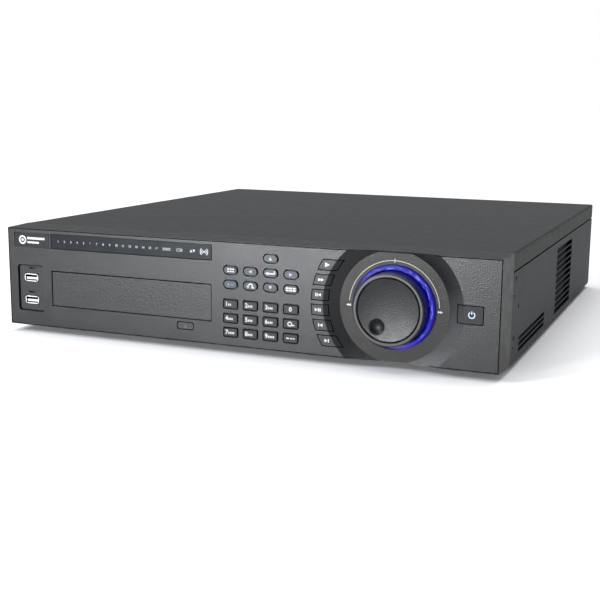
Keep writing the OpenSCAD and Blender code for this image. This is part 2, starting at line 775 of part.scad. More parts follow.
// ---- rear ----
module rear_hole(x, z, r) { translate([x, z]) circle(r, $fn = 48); }
module fan_grille() {
    difference() {
        union() for (r = [27, 21, 15]) difference() {
            circle(r);
            circle(r - 4.4);
        }
        for (a = [45, 135]) rotate(a) square([60, 2.4], center = true);
    }
}
module rear_panel() {
    color("#5a5c5f") along_y(panel_y, panel_y + sheet_t) difference() {
        union() {
            translate([-inner_x, sheet_t]) square([2 * inner_x, panel_top - sheet_t]);
            translate([-case_w / 2 + sheet_t, sheet_t])
                square([case_w - 2 * sheet_t, seam_z - 2 * sheet_t]);
        }
        for (x = fan_x) translate([x, fan_z]) fan_grille();
        for (i = [0:7], z = bnc_z) rear_hole(bnc_x + i * bnc_pitch, z, 5.6);
        for (at = audio) rear_hole(at[0], at[1], 4.6);
        for (at = [vga, serial]) translate(at) square([19.4, 11.4], center = true);
        translate(hdmi) square([15.6, 6.4], center = true);
        translate(network) square([16.4, 14], center = true);
        translate([alarm_box[0] - 0.3, alarm_box[2] - 0.3])
            square([alarm_box[1] - alarm_box[0] + 0.6, alarm_box[3] - alarm_box[2] + 0.6]);
        translate(inlet) square([27.4, 19.6], center = true);
        translate(rocker_at) square([13.4, 21.4], center = true);
        for (i = [0:7]) translate([-205 + i * 12, 58]) stadium(8, 3);
        for (i = [0:7]) translate([-205 + i * 12, 66]) stadium(8, 3);
        for (x = lid_screw_x) rear_hole(x, lip_z + 3.6, 1.55);
    }
}
module bnc_jack() {
    rotate([-90, 0, 0]) {
        translate([-6.5, -6.5, panel_y - 13]) cube([13, 13, 13]);
        translate([0, 0, panel_y - 0.5]) cylinder(r = 5.4, h = 4);
        translate([0, 0, panel_y + sheet_t]) cylinder(r = 7.2, h = 2, $fn = 6);
        difference() {
            union() {
                translate([0, 0, panel_y + 3]) cylinder(r = 4.8, h = rear_proud + case_d - panel_y - 3);
                translate([-5.5, 0, case_d + rear_proud - 3.4])
                    rotate([0, 90, 0]) cylinder(r = 0.95, h = 11, $fn = 24);
            }
            translate([0, 0, panel_y + 4]) cylinder(r = 4, h = 20);
        }
        translate([0, 0, panel_y + 3]) cylinder(r = 1.1, h = 6, $fn = 24);
    }
}
module bnc_jacks() {
    color(bright_metal) for (i = [0:7]) translate([bnc_x + i * bnc_pitch, 0, 0]) {
        for (z = bnc_z) translate([0, 0, z]) bnc_jack();
        block([-6.5, 6.5], [panel_y - 13, panel_y - 3], [main_board_z + board_t, bnc_z[1]]);
    }
}
module d_shell(at) {
    translate([at[0], 0, at[1]]) difference() {
        union() {
            along_y(panel_y - 10, panel_y + sheet_t + 0.2) square([19, 11], center = true);
            block([-9.5, 9.5], [panel_y - 10, panel_y], [upper_board_z + board_t - at[1], 0]);
            along_y(panel_y + sheet_t, case_d + 5) polygon([[-8.4, 4], [8.4, 4], [7, -4], [-7, -4]]);
        }
        along_y(case_d - 1, case_d + 6) polygon([[-7.8, 3.5], [7.8, 3.5], [6.5, -3.5], [-6.5, -3.5]]);
    }
}
module rear_ports() {
    color(bright_metal) {
        d_shell(vga);
        d_shell(serial);
        translate([hdmi[0], 0, hdmi[1]]) difference() {
            union() {
                along_y(panel_y - 10, case_d) square([15, 5.8], center = true);
                block([-7.5, 7.5], [panel_y - 10, panel_y], [upper_board_z + board_t - hdmi[1], 0]);
            }
            along_y(panel_y - 6, case_d + cut) square([14, 4.6], center = true);
        }
        translate([network[0], 0, network[1]]) difference() {
            along_y(panel_y - 14, case_d) square([16, 13.4], center = true);
            along_y(panel_y - 10, case_d + cut) translate([0, -0.6]) square([11.8, 6.8], center = true);
            along_y(panel_y - 10, case_d + cut) translate([0, 3]) square([6, 4], center = true);
        }
        for (at = audio) translate([at[0], 0, at[1]]) {
            block([-6, 6], [panel_y - 10, panel_y], [-6, upper_board_z - at[1]]);
            rotate([-90, 0, 0]) translate([0, 0, panel_y - 1]) tube(4.2, 1.7, 0, 9);
        }
    }
}
module alarm_terminals() {
    color("#2f8f4e") difference() {
        union() {
            block([alarm_box[0], alarm_box[1]], [panel_y - 10, case_d + 6], [alarm_box[2], alarm_box[3]]);
            block([alarm_box[0], alarm_box[1]], [panel_y - 10, panel_y],
                  [main_board_z + board_t, alarm_box[3]]);
        }
        for (i = [0:9], row = [0, 1])
            translate([alarm_box[0] + 3.5 + i * 5, case_d + 2, alarm_box[2] + 5 + row * 10])
                rotate([-90, 0, 0]) cylinder(r = 1.5, h = 6, $fn = 24);
        for (i = [0:9]) translate([alarm_box[0] + 3.5 + i * 5, case_d + 3, alarm_box[3] - 1])
            cylinder(r = 1.4, h = 3, $fn = 24);
    }
}
module power_inlet() {
    color(plain_black) {
        translate([inlet[0], 0, inlet[1]]) {
            difference() {
                union() {
                    along_y(panel_y - 18, panel_y + sheet_t) rounded_rect(27, 19.2, 2);
                    along_y(panel_y + sheet_t, case_d + 2) rounded_rect(31, 24, 2);
                }
                along_y(panel_y - 14, case_d + 3) rounded_rect(24, 16.4, 3);
            }
            for (at = [[-7, -3.4], [7, -3.4], [0, 0.6]])
                along_y(panel_y - 15, case_d - 2) translate(at) square([2, 4], center = true);
        }
        translate([rocker_at[0], 0, rocker_at[1]]) difference() {
            union() {
                along_y(panel_y - 14, panel_y + sheet_t) square([13, 21], center = true);
                along_y(panel_y + sheet_t, case_d + 2) square([16, 24.4], center = true);
            }
            along_y(panel_y - 8, case_d + 3) square([10.6, 19], center = true);
            translate([-6, pivot_y, 0])
                rotate([0, 90, 0]) cylinder(r = pivot_r + running_gap, h = 12, $fn = 32);
        }
    }
}
module power_rocker() {
    color("#26272a") translate([rocker_at[0], pivot_y, rocker_at[1]]) rotate([-rocker_tilt, 0, 0]) {
        along_x(-5, 5) polygon([[-3, -6], [-3, 6], [1.4, 8.6], [3.4, 8.4], [2, 0], [3.4, -8.4], [1.4, -8.6]]);
        translate([-5.9, 0, 0]) rotate([0, 90, 0]) cylinder(r = pivot_r, h = 11.8, $fn = 32);
    }
}

// ---- nodes ----
case_frame() {
    front_bezel();
    dial_surround();
    light_ring();
    shuttle_ring();
    jog_dial();
    jog_encoder();
    status_window();
    badge_plate();
    key_board();
    usb_sockets();
    tray_cover();
    disc_tray();
    optical_drive();
    chassis();
    rear_panel();
    top_cover();
    case_screws();
    feet();
    main_board();
    power_supply();
    hard_drives();
    drive_brackets();
    fan_frames();
    fan_rotor(fan_x[0]);  // fan_rotor_left
    fan_rotor(fan_x[1]);  // fan_rotor_right
    power_inlet();
    power_rocker();
    bnc_jacks();
    rear_ports();
    alarm_terminals();
    front_panel_cable();
    power_button();
    eject_button();
    for (key = oval_keys) oval_key(key);
    for (key = number_keys) number_key(key);
    for (i = [0:5]) play_key(i);
}
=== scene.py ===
"""Looks of the video recorder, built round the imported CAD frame.

Lengths are in case millimetres unless a name says otherwise: X to the right, Y back from the front face,
Z up from the case floor. at() turns them into the frame's metres.
"""

import json
import math

import bmesh
import bpy
from mathutils import Matrix, Vector

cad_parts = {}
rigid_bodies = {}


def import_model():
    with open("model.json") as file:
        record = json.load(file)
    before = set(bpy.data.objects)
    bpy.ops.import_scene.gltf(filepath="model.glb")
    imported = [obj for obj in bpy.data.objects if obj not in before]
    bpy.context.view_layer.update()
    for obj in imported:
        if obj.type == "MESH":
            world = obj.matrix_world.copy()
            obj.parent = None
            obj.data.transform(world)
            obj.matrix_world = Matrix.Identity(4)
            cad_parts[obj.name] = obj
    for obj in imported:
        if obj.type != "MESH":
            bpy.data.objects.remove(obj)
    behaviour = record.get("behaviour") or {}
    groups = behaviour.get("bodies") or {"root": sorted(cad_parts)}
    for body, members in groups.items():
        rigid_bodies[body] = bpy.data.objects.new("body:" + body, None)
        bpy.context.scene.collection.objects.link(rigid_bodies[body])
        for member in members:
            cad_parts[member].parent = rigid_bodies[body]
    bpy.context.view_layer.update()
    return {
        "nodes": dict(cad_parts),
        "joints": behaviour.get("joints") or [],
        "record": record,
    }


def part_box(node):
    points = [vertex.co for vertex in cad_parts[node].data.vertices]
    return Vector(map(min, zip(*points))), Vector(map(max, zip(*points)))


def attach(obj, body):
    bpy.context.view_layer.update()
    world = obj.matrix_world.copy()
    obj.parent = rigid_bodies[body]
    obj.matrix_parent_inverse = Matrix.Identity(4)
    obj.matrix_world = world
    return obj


for leftover in list(bpy.data.objects):
    bpy.data.objects.remove(leftover)
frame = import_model()

MM = 0.001
FRONT_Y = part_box("front_bezel")[0].y
CASE_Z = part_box("chassis")[0].z


def at(x, y, z):
    """Case millimetres to a point in the frame, in metres."""
    return Vector((x * MM, FRONT_Y + y * MM, CASE_Z + z * MM))


def corners(node):
    """Lowest and highest (x, y, z) of a node, in case millimetres."""
    return [(corner.x / MM, (corner.y - FRONT_Y) / MM, (corner.z - CASE_Z) / MM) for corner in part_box(node)]


def centre(node):
    """(x, z) of the middle of a node and the y of its front, in case millimetres."""
    (left, front, bottom), (right, _, top) = corners(node)
    return (left + right) / 2, (bottom + top) / 2, front


# The front moulding: half its width, its upper and lower edge, and how far each leans for each mm of depth.
HALF_FRONT, SIDE_LEAN = 218.6, 1.4 / 32
FRONT_TOP, TOP_LEAN = 87.2, 0.8 / 32
FRONT_LOW, LOW_LEAN = 1.5, 1.5 / 32

# The dial: its axis, the sloping dish round it, the jog disc's bowl, and the dimple in that for a finger.
DIAL_AXIS = [joint["pos_m"] for joint in frame["joints"] if joint["name"] == "jog_spin"][0]
DIAL_X, DIAL_Z = DIAL_AXIS[0] / MM, (DIAL_AXIS[2] - CASE_Z) / MM
DISH_R, FLOOR_R, DISH_DEPTH = 56.3, 43.8, 5.0
BOWL_R, BOWL_DEPTH = 23.9, 1.8
DIMPLE_X, DIMPLE_Z, DIMPLE_R, DIMPLE_DEEP = -8.4, -12.6, 6.3, 2.0
DIMPLE_START = 0.6 * BOWL_DEPTH

# The recess round the two USB sockets, and the edges of the dial's surround and of the lid.
USB_X, USB_Z, USB_FLOOR, RECESS_HALF = -196, (43.9, 24.1), 1.5, 14.5
SURROUND_TOP = corners("dial_surround")[1][2]
LID_LOW, LID_HALF = corners("top_cover")[0][2], corners("top_cover")[1][0]

MARGIN = 0.05  # how far short of an edge a mask stops
FLOOR_SIZE = 12.0  # in metres


# ---------------------------------------------------------------- materials
class Number:
    """A number in a material's node tree, with Python's arithmetic."""

    def __init__(self, tree, socket):
        self.tree = tree
        self.socket = socket

    def made_by(self, operation, *values):
        """What a maths node makes of these values, each a Number or a plain number."""
        node = self.tree.nodes.new("ShaderNodeMath")
        node.operation = operation
        for socket, value in zip(node.inputs, values):
            if isinstance(value, Number):
                self.tree.links.new(value.socket, socket)
            else:
                socket.default_value = value
        return Number(self.tree, node.outputs[0])

    def __add__(self, other):
        return self.made_by("ADD", self, other)

    def __sub__(self, other):
        return self.made_by("SUBTRACT", self, other)

    def __rsub__(self, other):
        return self.made_by("SUBTRACT", other, self)

    def __mul__(self, other):
        return self.made_by("MULTIPLY", self, other)

    def __abs__(self):
        return self.made_by("ABSOLUTE", self)

    def above(self, limit):
        return self.made_by("GREATER_THAN", self, limit)

    def below(self, limit):
        return self.made_by("LESS_THAN", self, limit)

    def at_least(self, limit):
        return self.made_by("MAXIMUM", self, limit)

    def at_most(self, limit):
        return self.made_by("MINIMUM", self, limit)

    def cosine(self):
        return self.made_by("COSINE", self)

    def spread(self, low, high):
        """A noise, most of which lies between 0.3 and 0.7, stretched to run from low to high."""
        node = self.tree.nodes.new("ShaderNodeMapRange")
        node.inputs["From Min"].default_value = 0.3
        node.inputs["From Max"].default_value = 0.7
        node.inputs["To Min"].default_value = low
        node.inputs["To Max"].default_value = high
        self.tree.links.new(self.socket, node.inputs["Value"])
        return Number(self.tree, node.outputs["Result"])


class Place:
    """The shaded point's x, depth behind the front face and z, in case millimetres."""

    def __init__(self, tree):
        coords = tree.nodes.new("ShaderNodeTexCoord")
        split = tree.nodes.new("ShaderNodeSeparateXYZ")
        tree.links.new(coords.outputs["Object"], split.inputs[0])
        x, y, z = (Number(tree, socket) for socket in split.outputs)
        self.x, self.depth, self.z = x * (1 / MM), (y - FRONT_Y) * (1 / MM), (z - CASE_Z) * (1 / MM)

    def dial(self):
        """Distance from the dial's axis, and the angle round it, which starts at its right."""
        across, up = self.x - DIAL_X, self.z - DIAL_Z
        squares = across * across + up * up
        return squares.made_by("SQRT", squares), up.made_by("ARCTAN2", up, across)


def new_material(name):
    made = bpy.data.materials.new(name)
    made.use_nodes = True
    return made, made.node_tree, made.node_tree.nodes["Principled BSDF"]


def noise(tree, size_mm, detail=2.0, stretch=(1, 1, 1)):
    """A noise whose grains are about size_mm across, fixed to the piece."""
    coords = tree.nodes.new("ShaderNodeTexCoord")
    mapping = tree.nodes.new("ShaderNodeMapping")
    mapping.inputs["Scale"].default_value = stretch
    texture = tree.nodes.new("ShaderNodeTexNoise")
    texture.inputs["Scale"].default_value = 1 / (size_mm * MM)
    texture.inputs["Detail"].default_value = detail
    tree.links.new(coords.outputs["Object"], mapping.inputs["Vector"])
    tree.links.new(mapping.outputs["Vector"], texture.inputs["Vector"])
    return Number(tree, texture.outputs["Fac"])


def blend(factor, first, second):
    """Colour that runs from first to second; each is a colour or a socket."""
    node = factor.tree.nodes.new("ShaderNodeMix")
    node.data_type = "RGBA"
    factor.tree.links.new(factor.socket, node.inputs["Factor"])
    for socket, value in ((node.inputs[6], first), (node.inputs[7], second)):
        if isinstance(value, tuple):
            socket.default_value = (*value, 1)
        else:
            factor.tree.links.new(value, socket)
    return node.outputs[2]


class Finish:
    """A paint, plastic or metal: broad tone changes, a grainy bump and uneven roughness. Sizes are in
    millimetres. More layers can be painted over its colour."""

    def __init__(self, name, color, rough, metal=0.0, grain=0.5, depth=0.012, tone=0.05, gloss=0.4,
                 uneven=0.04, stretch=(1, 1, 1)):
        self.material, self.tree, self.shader = new_material(name)
        broad_size, rough_size = 60.0, 9.0
        darker, lighter = (tuple(c * share for c in color) for share in (1 - tone, 1 + tone))
        broad = noise(self.tree, broad_size).spread(0, 1)
        fine = noise(self.tree, grain, 3.0, stretch)
        self.show_color(blend(fine.spread(0, 1), darker, blend(broad, darker, lighter)))
        self.show_rough(noise(self.tree, rough_size).spread(rough - uneven, rough + uneven))
        bump = self.tree.nodes.new("ShaderNodeBump")
        bump.inputs["Distance"].default_value = depth * MM
        self.tree.links.new(fine.socket, bump.inputs["Height"])
        self.tree.links.new(bump.outputs["Normal"], self.shader.inputs["Normal"])
        self.shader.inputs["Metallic"].default_value = metal
        self.shader.inputs["Specular IOR Level"].default_value = gloss

    def show_color(self, color):
        self.color = color
        self.tree.links.new(color, self.shader.inputs["Base Color"])

    def show_rough(self, rough):
        self.rough = rough
        self.tree.links.new(rough.socket, self.shader.inputs["Roughness"])

    def paint(self, mask, color):
        """Lays a colour over the finish wherever the mask is 1."""
        self.show_color(blend(mask, self.color, color))


# Painted shade: black laid where shade falls, on the walls of gaps, grooves and holes, along the dial
# surround's top and on the ledge under the lid.
PAINTED_SHADE_BLACK = (0.0005, 0.0005, 0.0005)
# Painted highlight laid on the lower right of the dish's slope.
SLOPE_LIGHT = (0.024, 0.0243, 0.026)
END_DULLER, WALL_DULLER = 0.12, 0.5


def dish_mask(place):
    """Painted shade: 1 in the dish at its upper left, less towards its lower right, where the fade stands in
    for light on its slope, and 0 outside it.
    """
    lower_right, fade = math.radians(-45), 1.3
    radius, angle = place.dial()
    under_top = (place.z - place.depth * TOP_LEAN).below(FRONT_TOP - MARGIN)
    inside = radius.below(DISH_R - MARGIN) * (place.depth.above(2 * MARGIN) * under_top)
    away = (angle - lower_right).cosine() * fade
    return inside * (1.0 - away.at_least(0.0).at_most(1.0))


def bright_side_mask(place):
    """Painted highlight: up to 1 in the dish at its lower right, where its slope would catch light from the
    ground.
    """
    brightest, start, rise = math.radians(-32), 0.6, 2.5
    radius, angle = place.dial()
    on_slope = radius.below(DISH_R - MARGIN) * radius.above(FLOOR_R)
    return on_slope * (((angle - brightest).cosine() - start) * rise).at_least(0.0)


def end_mask(place):
    """1 on the moulding's two end faces, which lean in towards the front."""
    reach = 0.08
    end_face = place.depth * SIDE_LEAN + (HALF_FRONT - reach)
    return abs(place.x).above(end_face) * place.depth.above(MARGIN)


def recess_mask(place):
    """1 on the floor of the recess round the USB sockets."""
    reach = 0.2
    return abs(place.x - USB_X).below(RECESS_HALF) * abs(place.depth - USB_FLOOR).below(reach)


def wall_mask(place):
    """1 on the walls of grooves, gaps and holes, which lie deeper than the face round them, where black painted
    shade is laid.
    """
    wall_start = 0.25
    radius, _ = place.dial()
    slope = DISH_DEPTH / (DISH_R - FLOOR_R)
    dish_face = ((DISH_R - radius) * slope).at_least(0.0).at_most(DISH_DEPTH)
    recess_face = abs(place.x - USB_X).below(RECESS_HALF) * USB_FLOOR
    below_edge = place.z.below(SURROUND_TOP - 2 * MARGIN)
    deeper = place.depth.above(dish_face.at_least(recess_face) * below_edge + wall_start)
    top = (place.z - place.depth * TOP_LEAN).below(FRONT_TOP - MARGIN)
    low = (place.z + place.depth * LOW_LEAN).above(FRONT_LOW + MARGIN)
    end = (abs(place.x) - place.depth * SIDE_LEAN).below(HALF_FRONT - MARGIN)
    return deeper * top * low * end


def front_material(name, color, dish_light_and_shade, rough, gloss=0.31):
    """Front plastic: painted shade in the dish, fading towards its lower right, and a painted highlight on the
    dish's lower right slope; painted shade on the floor of the USB recess; black painted shade on the walls of
    gaps and holes; and duller on the two ends and on the floor of the USB recess."""
    plastic = Finish(name, color, rough, grain=1.0, depth=0.18, tone=0.2, gloss=gloss)
    place = Place(plastic.tree)
    recess, walls = recess_mask(place), wall_mask(place)
    # Painted shade in the dish, lessened towards its lower right.
    plastic.paint(dish_mask(place), dish_light_and_shade)
    # Painted highlight on the dish's lower right slope.
    plastic.paint(bright_side_mask(place), SLOPE_LIGHT)
    # Painted shade: the dish's shade colour laid on the floor of the USB recess.
    plastic.paint(recess, dish_light_and_shade)
    # Painted shade: black on the walls of gaps, grooves and holes.
    plastic.paint(walls, PAINTED_SHADE_BLACK)
    plastic.show_rough(plastic.rough + (end_mask(place).at_least(recess) * END_DULLER + walls * WALL_DULLER))
    return plastic.material


def ring_material():
    """The lit ring: across its curved face dark at the inner edge and brightest along a line, partly its lamps'
    light and partly a painted reflection and highlight, with long uneven streaks on the side where its lamps
    are; painted shade makes its upper left a weaker purple and its far side nearly dark."""
    ring_in, ring_wide, crest_r, crest_fade = 28.8, 4.4, 31.0, 0.6
    lamps_at, dark_at = math.radians(42), math.radians(28 - 180)
    streaks_round, streaks_across, streak_start, streak_rise = 5.1, 1.1, 0.51, 10.0
    made, tree, shader = new_material("lit_ring")
    radius, angle = Place(tree).dial()

    # Painted reflection and highlight across the curved face: dark at the inner edge and bright along a line.
    ramp = tree.nodes.new("ShaderNodeValToRGB")
    tree.links.new(((radius - ring_in) * (1 / ring_wide)).socket, ramp.inputs["Fac"])
    stops = ramp.color_ramp.elements
    stops[0].color = (0.001, 0.0005, 0.07, 1)
    stops[1].color = (0.008, 0.006, 0.1, 1)
    for stop, color in ((0.25, (0.002, 0.001, 0.16)), (0.42, (0.03, 0.03, 0.62)),
                        (0.64, (0.026, 0.023, 0.56)), (0.84, (0.016, 0.013, 0.3))):
        stops.new(stop).color = (*color, 1)

    streak_at = tree.nodes.new("ShaderNodeCombineXYZ")
    tree.links.new((angle * streaks_round).socket, streak_at.inputs["X"])
    tree.links.new((radius * streaks_across).socket, streak_at.inputs["Y"])
    texture = tree.nodes.new("ShaderNodeTexNoise")
    texture.inputs["Scale"].default_value = 1.0
    texture.inputs["Detail"].default_value = 1.5
    tree.links.new(streak_at.outputs[0], texture.inputs["Vector"])
    streaks = ((Number(tree, texture.outputs["Fac"]) - streak_start) * streak_rise).at_least(0.0)
    crest = (1.0 - abs(radius - crest_r) * crest_fade).at_least(0.0)
    lit_side = (angle - lamps_at).cosine()
    strength = (lit_side * 0.8 + 0.2).at_least(0.0)
    streaked = blend((crest * streaks * strength).at_most(1.0), ramp.outputs["Color"], (0.25, 0.32, 1.0))

    # Painted shade: a weaker purple at the upper left and nearly dark at the far side.
    purple = blend((lit_side * -1.1).at_least(0.0), streaked, (0.11, 0.085, 0.45))
    darkness = (((angle - dark_at).cosine() - 0.2) * 3.0).at_least(0.0).at_most(1.0)
    tree.links.new(blend(darkness, purple, (0.012, 0.01, 0.03)), shader.inputs["Emission Color"])
    shader.inputs["Emission Strength"].default_value = 0.95
    shader.inputs["Base Color"].default_value = (0.002, 0.0015, 0.015, 1)
    shader.inputs["Roughness"].default_value = 0.5
    shader.inputs["Specular IOR Level"].default_value = 0.2
    return made


def rim_material():
    """The shuttle ring: brown-grey metal with a brighter front rim, and the lit ring's light painted as
    emission low on its wall.
    """
    rim_in, rim_out, wall_r, ring_light_end, ring_light_wide = 25.2, 27.3, 28.0, -10.0, 6
    metal = Finish("shuttle_metal", (0.016, 0.0155, 0.0138), 0.36, metal=0.15, grain=0.3, depth=0.004,
                   gloss=0.3)
    place = Place(metal.tree)
    radius, _ = place.dial()
    metal.paint(radius.below(rim_out) * radius.above(rim_in), (0.038, 0.037, 0.034))
    # Painted light: the lit ring's light on the wall, given as emission though the wall is no lamp.
    near_ring = ((place.depth - ring_light_end) * (1 / ring_light_wide)).at_least(0.0).at_most(1.0)
    painted_ring_light = blend(radius.above(wall_r) * near_ring, (0.0, 0.0, 0.0), (0.001, 0.0005, 0.09))
    metal.tree.links.new(painted_ring_light, metal.shader.inputs["Emission Color"])
    metal.shader.inputs["Emission Strength"].default_value = 1.0
    return metal.material


def usb_material():
    """Nickel shell that is bright outside and at its lips, with dark painted shade inside its mouth."""
    half_wide, half_high, lip = 6.25, 2.6, 1.1
    nickel = Finish("usb_nickel", (0.5, 0.49, 0.475), 0.33, metal=1.0, grain=1.5, depth=0.002)
    place = Place(nickel.tree)
    upper, lower = (abs(place.z - z).below(half_high) for z in USB_Z)
    mouth = abs(place.x - USB_X).below(half_wide) * place.depth.above(lip) * upper.at_least(lower)
    # Painted shade inside each socket's mouth.
    nickel.paint(mouth, (0.03, 0.03, 0.032))
    return nickel.material


def lid_material():
    """Powder coat of the lid, duller on its two flanges."""
    coat = Finish("lid_powder_coat", (0.011, 0.0113, 0.012), 0.43, grain=0.6, depth=0.006, gloss=0.25,
                  uneven=0.025)
    flange = abs(Place(coat.tree).x).above(LID_HALF - 2 * MARGIN)
    flange_duller = 0.18
    coat.show_rough(coat.rough + flange * flange_duller)
    return coat.material


def disc_material():
    """Brown-grey print of the dial's surround, with black painted shade along its top, where it is cut straight
    under the moulding.
    """
    ink = Finish("dial_disc_print", (0.0108, 0.0096, 0.0078), 0.42, grain=1.0, depth=0.2, tone=0.2, gloss=0.2)
    edge_band = 0.5
    edge = Place(ink.tree).z.above(SURROUND_TOP - edge_band)
    # Painted shade: a black band along the top, under the moulding.
    ink.paint(edge, PAINTED_SHADE_BLACK)
    ink.show_rough(ink.rough.at_least(edge))
    return ink.material


def side_material():
    """Powder coat of the lower case, with black painted shade on the ledge under the lid's edge."""
    coat = Finish("side_powder_coat", (0.0295, 0.031, 0.034), 0.62, grain=0.6, depth=0.006, gloss=0.2,
                  uneven=0.015)
    ledge_band = 1.35
    ledge = Place(coat.tree).z.above(LID_LOW - ledge_band)
    # Painted shade: black on the ledge, which lies in the lid's shade.
    coat.paint(ledge, PAINTED_SHADE_BLACK)
    coat.show_rough(coat.rough.at_least(ledge))
    return coat.material


def plain(name, color, rough, **more):
    return Finish(name, color, rough, **more).material


PANEL = (0.0076, 0.0078, 0.0084)
# Painted shade of the dish on the front moulding.
DISH_SHADE = (0.0022, 0.0022, 0.0027)
materials = {
    "front_panel": front_material("front_plastic", PANEL, DISH_SHADE, 0.33),
    "playback_keys": front_material("playback_plastic", (0.0065, 0.0066, 0.0072), (0.003, 0.003, 0.0034), 0.37,
                                    gloss=0.26),
    "power_key": front_material("power_plastic", (0.0045, 0.0045, 0.0048), (0.0055, 0.0054, 0.0055), 0.42,
                                gloss=0.21),
    "dial_disc": disc_material(),
    "light_ring": ring_material(),
    "dial_rim": rim_material(),
    "dial_face": plain("jog_metal", (0.003, 0.003, 0.0032), 0.385, grain=1.0, depth=0.12, tone=0.2, gloss=0.24),
    "smoked_window": plain("smoked_acrylic", (0.003, 0.0045, 0.0068), 0.32, depth=0.001, gloss=0.15),
    "badge": plain("badge_gloss", (0.0045, 0.0047, 0.0055), 0.34, depth=0.001, gloss=0.22),
    "tray_panel": plain("tray_plastic", PANEL, 0.36, grain=1.0, depth=0.19, tone=0.2, gloss=0.3),
    "oval_keys": plain("oval_key_plastic", (0.0135, 0.015, 0.0175), 0.34, grain=0.3, gloss=0.31),
    "number_keys": plain("number_key_plastic", (0.0062, 0.0065, 0.0063), 0.42, grain=0.3, gloss=0.22),
    "black_plastic": plain("black_moulding", (0.012, 0.012, 0.0135), 0.5),
    "fan_plastic": plain("fan_moulding", (0.016, 0.016, 0.018), 0.45),
    "case_top": lid_material(),
    "case_side": side_material(),
    "rear_sheet": plain("rear_powder_coat", (0.05, 0.051, 0.054), 0.6, grain=0.6, depth=0.02, gloss=0.25),
    "black_steel": plain("black_coated_steel", (0.02, 0.021, 0.025), 0.8, grain=0.6, gloss=0.05),
    "plated_steel": plain("zinc_plate", (0.52, 0.53, 0.54), 0.38, metal=1.0, grain=3.0, depth=0.003),
    "bright_metal": plain("nickel_plate", (0.62, 0.62, 0.63), 0.28, metal=1.0, grain=1.5, depth=0.002),
    "disk_aluminium": plain("cast_aluminium", (0.5, 0.51, 0.52), 0.45, metal=1.0, grain=0.8, depth=0.01),
    "circuit_board": plain("solder_mask", (0.015, 0.1, 0.04), 0.35, grain=2.0, depth=0.01),
    "terminal_green": plain("terminal_moulding", (0.02, 0.2, 0.07), 0.45),
    "ribbon": plain("ribbon_plastic", (0.4, 0.41, 0.43), 0.5, grain=1.2, stretch=(1, 0.02, 1)),
    "rubber": plain("black_rubber", (0.012, 0.012, 0.013), 0.75, depth=0.03),
    "white_ink": plain("white_print", (0.4, 0.41, 0.43), 0.45, depth=0.001),
    "grey_ink": plain("grey_print", (0.24, 0.245, 0.27), 0.45, depth=0.001),
    "blue_ink": plain("blue_print", (0.05, 0.085, 0.16), 0.45, depth=0.001),
}
dark_print = plain("dark_print", (0.002, 0.002, 0.002), 0.7, gloss=0.1)
finger_rubber = plain("finger_rubber", (0.0012, 0.0012, 0.0013), 0.42, depth=0.001, gloss=0.16)
socket_plastic = plain("socket_plastic", (0.5, 0.5, 0.48), 0.5, depth=0.001)
cream_print = plain("cream_print", (0.3, 0.3, 0.245), 0.5, depth=0.001)
arrow_print = plain("arrow_print", (0.22, 0.28, 0.37), 0.5, depth=0.001)
faint_print = plain("faint_print", (0.05, 0.052, 0.056), 0.5, depth=0.001)
contact_gold = plain("contact_gold", (0.55, 0.38, 0.12), 0.3, metal=1.0, depth=0.001)

slot_of = {entry["node"]: entry["material_slot"] for entry in frame["record"]["subparts"]}
for node_name, node_object in frame["nodes"].items():
    node_object.data.materials.clear()
    node_object.data.materials.append(materials[slot_of[node_name]])
frame["nodes"]["usb_sockets"].data.materials[0] = usb_material()


# ---------------------------------------------------------------- added pieces
INK_OUT, INK_IN = 0.05, 0.03  # how far a print stands out of its face and reaches into it
CAP_HEIGHT = 0.7  # height of a digit of Blender's own font, as a share of its size


def prism(name, outlines, y, body, slot="white_ink", look=None, front=INK_OUT, back=INK_IN):
    """Closed flat pieces: each outline is a list of (x, z) points, and it runs from front before depth y to
    back behind it."""
    built = bmesh.new()
    for outline in outlines:
        rings = [[built.verts.new(at(x, depth, z)) for x, z in outline] for depth in (y - front, y + back)]
        built.faces.new(rings[0])
        built.faces.new(reversed(rings[1]))
        for i in range(len(outline)):
            j = (i + 1) % len(outline)
            built.faces.new((rings[0][j], rings[0][i], rings[1][i], rings[1][j]))
    bmesh.ops.recalc_face_normals(built, faces=built.faces)
    mesh = bpy.data.meshes.new(name)
    built.to_mesh(mesh)
    built.free()
    return placed(name, mesh, body, slot, look)


def placed(name, mesh, body, slot, look=None):
    """Links a piece, gives it its slot's finish or a look of its own, and lets it ride on a body."""
    made = bpy.data.objects.new(name, mesh)
    bpy.context.scene.collection.objects.link(made)
    mesh.materials.append(look or materials[slot])
    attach(made, body)
    return made


def number(name, text, x, z, y, height, body, slot="white_ink", weight=0.02):
    """A number, drawn with Blender's own font and turned into a thin mesh."""
    curve = bpy.data.curves.new(name, "FONT")
    curve.body = text
    curve.size = height * MM / CAP_HEIGHT
    curve.extrude = INK_OUT * MM
    curve.offset = weight * height * MM
    curve.align_x = "CENTER"
    curve.align_y = "CENTER"
    letter = bpy.data.objects.new(name, curve)
    bpy.context.scene.collection.objects.link(letter)
    bpy.context.view_layer.update()
    mesh = bpy.data.meshes.new_from_object(letter.evaluated_get(bpy.context.evaluated_depsgraph_get()))
    bpy.data.objects.remove(letter)
    mesh.name = name
    mesh.transform(Matrix.Translation(at(x, y, z)) @ Matrix.Rotation(math.radians(90), 4, "X"))
    return placed(name, mesh, body, slot)


def bar(x, z, width, height):
    left, right, low, high = x - width / 2, x + width / 2, z - height / 2, z + height / 2
    return [(left, low), (right, low), (right, high), (left, high)]


